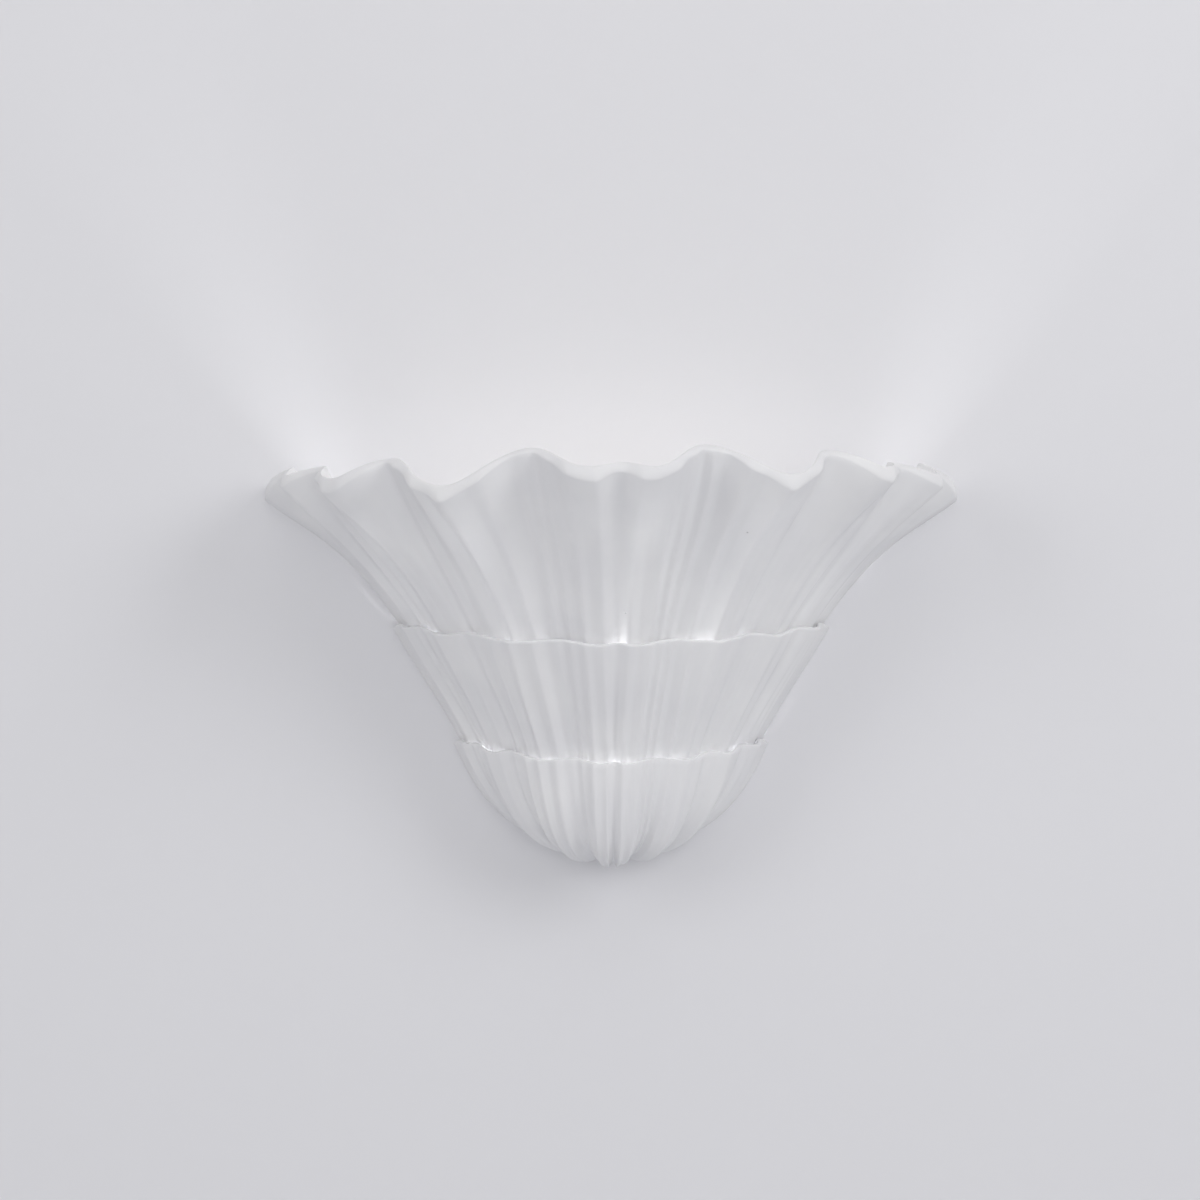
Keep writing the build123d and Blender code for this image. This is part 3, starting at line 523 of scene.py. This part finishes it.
def sectionLoop(section, angle, closedMiddle):
    # one closed radial section: fluted outside, rounded edge, smooth inside, foot
    across, out = math.sin(math.radians(angle)), shell["depthRatio"] * math.cos(math.radians(angle))
    squeeze = math.hypot(across, out)
    cut = section(angle)
    fold = foldAt(angle) ** shell["foldSharpness"]
    folded = [
        ((r - depth * fold) * squeeze, h + rise * fold)
        for (r, h), depth, rise in zip(cut["points"], cut["folds"], cut["rises"])
    ]
    inner = insetPoints(folded, cut["walls"])
    lean, tall = shell["rimFace"]
    face = moved(folded[-1], (-lean, tall))
    inner[-1] = blended([inner[-1]], [face], cut["upright"])[0]
    outer = outerLine(folded, angle, cut["relief"])
    steps = shell["innerSteps"]
    inside = [curvePoint(inner, 1 - step / steps) for step in range(steps + 1)]
    loop = outer + roundedEdge(outer[-1], inner[-1]) + inside
    if closedMiddle:
        loop = [(0.0, outer[0][1]), *loop, (0.0, inside[-1][1])]
    direction = (across / squeeze, -out / squeeze)
    return [(r * direction[0] * mm, r * direction[1] * mm, (h - shell["drop"]) * mm) for r, h in loop]


def makeTier(name, section, closedMiddle=False):
    count = round(180 / shell["angleStep"])
    loops = [sectionLoop(section, -90 + 180 * k / count, closedMiddle) for k in range(count + 1)]
    points, faces = joinLoops(loops)
    makeObject(f"{name}_cast", points, faces, plaster, "shell", shell["sharpAngle"], [name])


makeTier("lower_tier", lowerSection, closedMiddle=True)
makeTier("middle_tier", middleSection)
makeTier("upper_tier", upperSection)
print("plaster tiers made")

# Cast lugs behind each tier, round the threaded inserts, in mm: their reach into the tier's wall, their depth
# and the spacing of their rows
lug = {
    "radius": 8.0, "reach": 6.0, "depth": 9.0, "edge": 0.6, "rows": 60.0, "segments": 64, "sharpAngle": 30,
}


def makeLug(name, insert, side):
    # the insert's own box in the frame says where the hole is
    low, high = insert
    across, up, hole = (low[0] + high[0]) / 2, (low[2] + high[2]) / 2, (high[0] - low[0]) / 2
    rear, holeEnd = high[1], low[1]
    radius, edge, reach, count = lug["radius"] * mm, lug["edge"] * mm, lug["reach"] * mm, lug["segments"]

    def outline(size, stretch, depth):
        loop = []
        for k in range(count):
            turn = 2 * math.pi * (k + 0.5) / count
            shift = stretch if side * math.cos(turn) > 0 else 0.0
            loop.append((across + size * math.cos(turn) + side * shift, depth, up + size * math.sin(turn)))
        return loop

    front = rear - lug["depth"] * mm
    loops = [
        outline(hole, 0.0, holeEnd), outline(hole, 0.0, rear), outline(radius, reach, rear),
        outline(radius, reach, front + edge), outline(radius - edge, reach, front),
    ]
    points, faces = joinLoops(loops)
    makeObject(name, points, faces, plaster, "shell", lug["sharpAngle"])


def insertBoxes():
    # the six inserts are one node: its points fall into six groups, left and right in evenly spaced rows
    groups = {}
    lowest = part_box("threaded_inserts")[0][2]
    for vertex in nodes["threaded_inserts"].data.vertices:
        x, y, z = nodes["threaded_inserts"].matrix_world @ vertex.co
        key = (x > 0, round((z - lowest) / (lug["rows"] * mm)))
        groups.setdefault(key, []).append((x, y, z))
    return [
        (tuple(map(min, zip(*points))), tuple(map(max, zip(*points))))
        for _, points in sorted(groups.items())
    ]


for number, insert in enumerate(insertBoxes(), start=1):
    makeLug(f"cast_lug_{number}", insert, 1 if insert[0][0] > 0 else -1)
print("cast lugs made")

# Screw cap of a bulb, in mm: the black glass's height, the tip's radius, and the glass's shoulder as a share
# of the root radius and a height
screwCap = {
    "pitch": 2.82, "turns": 5, "root": 6.4, "crest": 6.85, "skirtGap": 0.4, "insulator": 2.5, "tip": 2.4,
    "shoulder": (0.7, 0.5), "stepsPerTurn": 12, "segments": 72, "sharpAngle": 40,
}


def threadLoops(centre, start):
    # one right-handed helical wave in thin metal, faded in and out over its first and last turn
    pitch, root, crest = screwCap["pitch"] * mm, screwCap["root"] * mm, screwCap["crest"] * mm
    length, steps = screwCap["turns"] * pitch, screwCap["turns"] * screwCap["stepsPerTurn"]
    loops = []
    for step in range(steps + 1):
        height = length * step / steps
        fade = min(1.0, height / pitch, (length - height) / pitch)
        loop = []
        for k in range(screwCap["segments"]):
            turn = 2 * math.pi * k / screwCap["segments"]
            wave = (1 + math.cos(turn - 2 * math.pi * height / pitch)) / 2
            radius = root + (crest - root) * wave * fade
            x, y = centre[0] + radius * math.cos(turn), centre[1] + radius * math.sin(turn)
            loop.append((x, y, start + height))
        loops.append(loop)
    return loops


def makeScrewCap(side):
    low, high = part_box(f"bulb_cap_{side}")
    centre, count = ((low[0] + high[0]) / 2, (low[1] + high[1]) / 2), screwCap["segments"]
    start, body, sharp = low[2] + screwCap["insulator"] * mm, f"bulb_{side}", screwCap["sharpAngle"]
    crest, root, tip = screwCap["crest"] * mm, screwCap["root"] * mm, screwCap["tip"] * mm
    threadEnd = start + screwCap["turns"] * screwCap["pitch"] * mm
    skirt = [(crest, threadEnd + screwCap["skirtGap"] * mm), (crest, high[2])]
    points, faces = joinLoops(threadLoops(centre, start) + turnedLoops(skirt, centre, count))
    makeObject(f"screw_cap_{side}", points, faces, finishes["nickelPlate"], body, sharp,
               [f"bulb_cap_{side}"])
    share, rise = screwCap["shoulder"]
    glass = [(tip, low[2]), (share * root, low[2] + rise * mm), (root, start)]
    points, faces = joinLoops(turnedLoops(glass, centre, count))
    makeObject(f"cap_insulator_{side}", points, faces, finishes["blackGlass"], body, sharp)


for side in ("left", "right"):
    makeScrewCap(side)

# The frame's own nodes that stay, by finish
nodeFinishes = {
    "powderCoatedSteel": ["shell_frame", "wall_plate", "lamp_bracket"],
    "zincPlatedSteel": ["frame_screws", "bracket_screws", "clamp_screws", "holder_nipples", "holder_nuts"],
    "turnedBrass": ["threaded_inserts", "earth_washer", "earth_screw", "socket_sleeve_left",
                    "socket_sleeve_right", "centre_contact_left", "centre_contact_right"],
    "nickelPlate": ["bulb_tip_left", "bulb_tip_right"],
    "mouldedRubber": ["cable_grommet"],
    "naturalNylon": ["terminal_block"],
    "mouldedPolyester": ["lampholder_left", "lampholder_right"],
    "satinPolycarbonate": ["bulb_collar_left", "bulb_collar_right"],
    "brownInsulation": ["lead_left_live", "lead_right_live"],
    "blueInsulation": ["lead_left_neutral", "lead_right_neutral"],
}


def dress(name, material):
    node = nodes[name]
    if not node.material_slots:
        node.data.materials.append(material)
    for place in node.material_slots:
        place.material = material


for finish, names in nodeFinishes.items():
    for name in names:
        dress(name, finishes[finish])
for side in ("left", "right"):
    dress(f"bulb_globe_{side}", globeGlow)
print("bulbs and fittings dressed")

# Wall, floor and world, in metres, and the paints' grain in mm; the wall stands just clear of the plate's back
stage = {
    "halfWide": 3.0, "wallTop": 2.2, "wallBehind": 0.0003, "floorHeight": -1.45, "floorFront": -5.0,
    "floorBack": 4.0, "wallColour": "#dfdfe2", "wallGrain": 2.5, "floorColour": "#d9dadd", "floorGrain": 4.0,
    "worldColour": "#ebeaec", "worldStrength": 0.47,
}


def stagePaint(name, colour, grainSize, seenThrough):
    # Matt emulsion paint: a faint roller texture. The wall isn't seen from behind and casts no shadow,
    # so that the rear lamp reaches the back of the part.
    material = newMaterial(name)
    place = addNode(material, "ShaderNodeTexCoord").outputs["Object"]
    grain = addNode(material, "ShaderNodeTexNoise", inputs={"Scale": perMetre(grainSize), "Detail": 2.0},
                    links={"Vector": place})
    bump = addNode(material, "ShaderNodeBump", inputs={"Strength": 0.15, "Distance": 0.15 * mm},
                   links={"Height": grain.outputs["Fac"]})
    paint = addNode(material, "ShaderNodeBsdfPrincipled",
                    inputs={"Base Color": linearColour(colour), "Roughness": 0.9, "Specular IOR Level": 0.2},
                    links={"Normal": bump.outputs["Normal"]}).outputs["BSDF"]
    if seenThrough:
        light = addNode(material, "ShaderNodeLightPath")
        facing = addNode(material, "ShaderNodeNewGeometry")
        leftOut = addNode(material, "ShaderNodeMath", settings={"operation": "MAXIMUM"},
                          links={0: facing.outputs["Backfacing"], 1: light.outputs["Is Shadow Ray"]})
        clear = addNode(material, "ShaderNodeBsdfTransparent")
        mixed = addNode(material, "ShaderNodeMixShader",
                        links={"Fac": leftOut.outputs["Value"], 1: paint, 2: clear.outputs["BSDF"]})
        paint = mixed.outputs["Shader"]
    addNode(material, "ShaderNodeOutputMaterial", links={"Surface": paint})
    return material


def makeStagePlane(name, corners, material):
    # corners in order round the plane
    mesh = bpy.data.meshes.new(name)
    mesh.from_pydata(corners, [], [(0, 1, 2, 3)])
    mesh.materials.append(material)
    plane = bpy.data.objects.new(name, mesh)
    scene.collection.objects.link(plane)


wide, face, floor, top = stage["halfWide"], stage["wallBehind"], stage["floorHeight"], stage["wallTop"]
makeStagePlane("wall", [(-wide, face, floor), (wide, face, floor), (wide, face, top), (-wide, face, top)],
               stagePaint("wallPaint", stage["wallColour"], stage["wallGrain"], True))
near, far = stage["floorFront"], stage["floorBack"]
makeStagePlane("floor", [(-wide, far, floor), (-wide, near, floor), (wide, near, floor), (wide, far, floor)],
               stagePaint("floorPaint", stage["floorColour"], stage["floorGrain"], False))

world = bpy.data.worlds.new("studioWorld")
scene.world = world
world.use_nodes = True
background = world.node_tree.nodes["Background"]
background.inputs["Color"].default_value = linearColour(stage["worldColour"])
background.inputs["Strength"].default_value = stage["worldStrength"]

lights = [
    # name, place, width, height, power in watts
    ("frontSoft", (0.25, -3.2, 0.35), 1.6, 1.6, 18),
    ("rightWindow", (2.3, -1.9, 1.3), 1.2, 1.8, 29),
    ("leftFill", (-2.4, -2.0, 1.0), 1.2, 1.8, 17),
    ("topSoft", (0.1, -1.6, 2.1), 1.8, 1.2, 7),
    ("rearSoft", (0.0, 2.4, 0.6), 2.0, 2.0, 14),
]
lightTarget = Vector((0.0, -0.05, 0.0))


def placeLamp(name, lamp, place, aim):
    # lamps shine along their own -Z
    holder = bpy.data.objects.new(name, lamp)
    holder.location = place
    holder.rotation_mode = "QUATERNION"
    holder.rotation_quaternion = aim.to_track_quat("-Z", "Y")
    scene.collection.objects.link(holder)
    return holder


for name, place, across, tall, power in lights:
    lamp = bpy.data.lights.new(name, "AREA")
    lamp.shape = "RECTANGLE"
    lamp.size, lamp.size_y, lamp.energy = across, tall, power
    placeLamp(name, lamp, place, lightTarget - Vector(place))

# The bulbs' light that leaks up through the two slots: a ring of small spots below each foot, which ride on
# the shell. Millimetres and degrees, the aim's rise to 1 outward, and each ring's power in watts.
slotLamps = {
    "below": 9.0, "inward": 13.0, "size": 4.0, "step": 8, "reach": 80, "cone": 75, "blend": 0.4, "rise": 0.9,
    "upperPower": 0.35, "lowerPower": 0.14,
}


def makeSlotLamps(name, section, power):
    for number, angle in enumerate(range(-slotLamps["reach"], slotLamps["reach"] + 1, slotLamps["step"])):
        turn = math.radians(angle)
        half, height = section(angle)["points"][0]
        half -= slotLamps["inward"] + shell["foldDepth"] * foldAt(angle) ** shell["foldSharpness"]
        outward = Vector((math.sin(turn), -shell["depthRatio"] * math.cos(turn), 0.0))
        lamp = bpy.data.lights.new(f"{name}{number}", "SPOT")
        lamp.energy, lamp.shadow_soft_size = power, slotLamps["size"] * mm
        lamp.spot_size, lamp.spot_blend = math.radians(slotLamps["cone"]), slotLamps["blend"]
        place = (*(half * mm * outward).xy, (height - shell["drop"] - slotLamps["below"]) * mm)
        aim = outward.normalized() + Vector((0.0, 0.0, slotLamps["rise"]))
        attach(placeLamp(lamp.name, lamp, place, aim), "shell")


makeSlotLamps("upperSlotLamp", upperSection, slotLamps["upperPower"])
makeSlotLamps("lowerSlotLamp", middleSection, slotLamps["lowerPower"])

# The camera looks along +Y; frameWidth is what the frame spans at the wall
view = {"distance": 2.1, "frameWidth": 0.7596, "across": -0.007, "height": 0.0327}
cameraData = bpy.data.cameras.new("camera")
cameraData.lens = cameraData.sensor_width * view["distance"] / view["frameWidth"]
camera = bpy.data.objects.new("camera", cameraData)
camera.location = (view["across"], -view["distance"], view["height"])
camera.rotation_euler = (math.radians(90), 0, 0)
scene.collection.objects.link(camera)
scene.camera = camera
scene.view_settings.view_transform = "Standard"
print("stage made")
